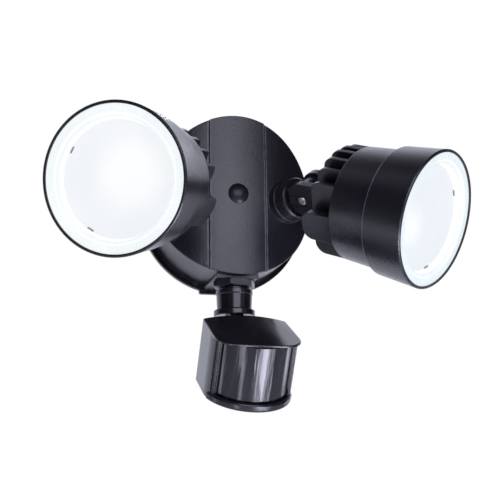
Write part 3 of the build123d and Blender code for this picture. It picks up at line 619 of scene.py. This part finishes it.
def add_diffuser(word):
    """Crowned white sheet with a raised edge, which stands in the mouth of the reflector."""
    radius, face = diffuser_radius, head_forward(word).length - diffuser_depth
    out, up = diffuser_shoulder
    top, rear = face + diffuser_edge_height, face - diffuser_thickness

    def build(shape):
        turn_outline(shape, [
            (0, face + diffuser_crown), (radius * out, face + diffuser_crown * up),
            (radius - diffuser_foot_width, face), (radius - diffuser_edge_width, top),
            (radius - diffuser_edge_round, top), (radius, top - diffuser_edge_round),
            (radius, rear), (0, rear)])
    piece = solid_from(f"{word}_diffuser", build, head_axes(word), diffuser_painted_glow(word),
                       f"{word}_head")
    for polygon in piece.data.polygons:
        polygon.use_smooth = True


def add_clips(word):
    """Small dark spring clips on the edge of the diffuser."""
    out = diffuser_radius - clip_width
    ahead = head_forward(word).length - diffuser_depth + clip_height

    def build(shape):
        for angle in clip_angles[word]:
            turn = Matrix.Rotation(radians(angle), 4, "Z")
            size = Matrix.Diagonal((clip_width, clip_length, clip_height, 1.0))
            place = turn @ Matrix.Translation((out, 0, ahead)) @ size
            made = bmesh.ops.create_cube(shape, size=1.0, matrix=place)
            edges = list({edge for corner in made["verts"] for edge in corner.link_edges})
            bmesh.ops.bevel(shape, geom=edges, offset=clip_bevel, segments=2, affect="EDGES")
    solid_from(f"{word}_diffuser_clips", build, head_axes(word), black_steel, f"{word}_head")


for word in heads:
    add_diffuser(word)
    add_clips(word)


# ==== stage ====
def add_camera():
    data = bpy.data.cameras.new("photo_camera")
    data.sensor_width = sensor_width
    data.lens = focal_pixels / image_side * sensor_width
    camera = bpy.data.objects.new("photo_camera", data)
    camera.location = camera_place
    turn = camera_aim.to_track_quat("-Z", "Y") @ Quaternion((0, 0, 1), radians(camera_roll))
    camera.rotation_mode = "QUATERNION"
    camera.rotation_quaternion = turn
    bpy.context.scene.collection.objects.link(camera)
    bpy.context.scene.camera = camera


def add_lamp(data, place, aim):
    """Link a lamp that stands at a place and looks along a direction."""
    data.color = studio_tint
    lamp = bpy.data.objects.new(data.name, data)
    lamp.location = place
    lamp.rotation_mode = "QUATERNION"
    lamp.rotation_quaternion = aim.to_track_quat("-Z", "Y")
    bpy.context.scene.collection.objects.link(lamp)
    return lamp


def add_softbox(name, stand, turn, rise, size, radiance):
    """Rectangular area light, at a distance from the middle of the light, which it looks at.

    turn is in degrees from straight in front towards +X, rise in degrees above the horizon.
    """
    data = bpy.data.lights.new(name, "AREA")
    data.shape = "RECTANGLE"
    data.size, data.size_y = size
    data.energy = radiance * pi * size[0] * size[1]
    turn, rise = radians(turn), radians(rise)
    toward = Vector((sin(turn) * cos(rise), -cos(turn) * cos(rise), sin(rise)))
    lamp = add_lamp(data, (cad_low + cad_high) / 2 + toward * stand, -toward)
    lamp.visible_camera = False


def add_floor_spot(name, place, aim, half_angle, watts):
    """Spot light that brightens the floor round aim, and misses the light itself."""
    data = bpy.data.lights.new(name, "SPOT")
    data.spot_size, data.spot_blend = radians(2 * half_angle), spot_blend
    data.shadow_soft_size = spot_source_radius
    data.energy = watts
    add_lamp(data, place, Vector((*aim, floor_height)) - Vector(place))


def add_world():
    """White surroundings, dimmer in front of the wall so that the black keeps its depth."""
    world = bpy.data.worlds.new("studio")
    world.use_nodes = True
    board = Board(world.node_tree)
    sky = next(node for node in world.node_tree.nodes if node.type == "BACKGROUND")
    direction = board.add("ShaderNodeTexCoord").outputs["Generated"]
    backwards = board.vector("DOT_PRODUCT", direction, (0.0, 1.0, 0.0))
    behind = board.span(backwards, back_starts, back_full)
    seen = board.add("ShaderNodeLightPath").outputs["Is Camera Ray"]
    shade = board.mix(behind, dim_front, bright_back)
    board.feed(sky.inputs["Color"], board.mix(seen, shade, full_white))
    bpy.context.scene.world = world


def add_floor():
    """Pale floor well below the light."""
    half, height = floor_half, floor_height
    mesh = bpy.data.meshes.new("floor")
    corners = [(-half, -half, height), (half, -half, height), (half, half, height),
               (-half, half, height)]
    mesh.from_pydata(corners, [], [(0, 1, 2, 3)])
    floor = bpy.data.objects.new("floor", mesh)
    mesh.materials.append(moulded("floor_paint", floor_tone, rough=0.7))
    bpy.context.scene.collection.objects.link(floor)


add_camera()
add_world()
add_floor()
for name, stand, turn, rise, size, radiance in (
        ("key_box", far_stand, 4.0, 15.5, (1.36, 0.93), 3.6),
        ("low_box", near_stand, 30.0, -46.0, (0.26, 0.24), 15.0),
        ("low_right_box", near_stand, 53.0, -42.0, (0.16, 0.24), 6.0),
        ("low_left_box", near_stand, -44.0, -44.0, (0.10, 0.24), 4.4),
        ("left_strip", near_stand, -101.0, -18.0, (0.10, 0.24), 2.4),
        ("right_strip", near_stand, 113.0, -12.0, (0.10, 0.24), 2.8),
        ("left_high_box", far_stand, -92.0, 54.0, (0.70, 0.60), 0.42),
        ("right_back_box", far_stand, 139.0, 25.0, (0.50, 0.50), 0.85),
        ("floor_wash", far_stand, 180.0, 62.0, (1.60, 0.70), 0.5)):
    add_softbox(name, stand, turn, rise, size, radiance)
add_floor_spot("floor_left_spot", place=(-0.35, 1.75, 1.05), aim=(-0.55, 0.80),
               half_angle=34.0, watts=62.0)
add_floor_spot("floor_back_spot", place=(0.45, 2.10, 1.10), aim=(0.35, 1.10),
               half_angle=36.0, watts=60.0)
bpy.context.scene.view_settings.view_transform = "Standard"
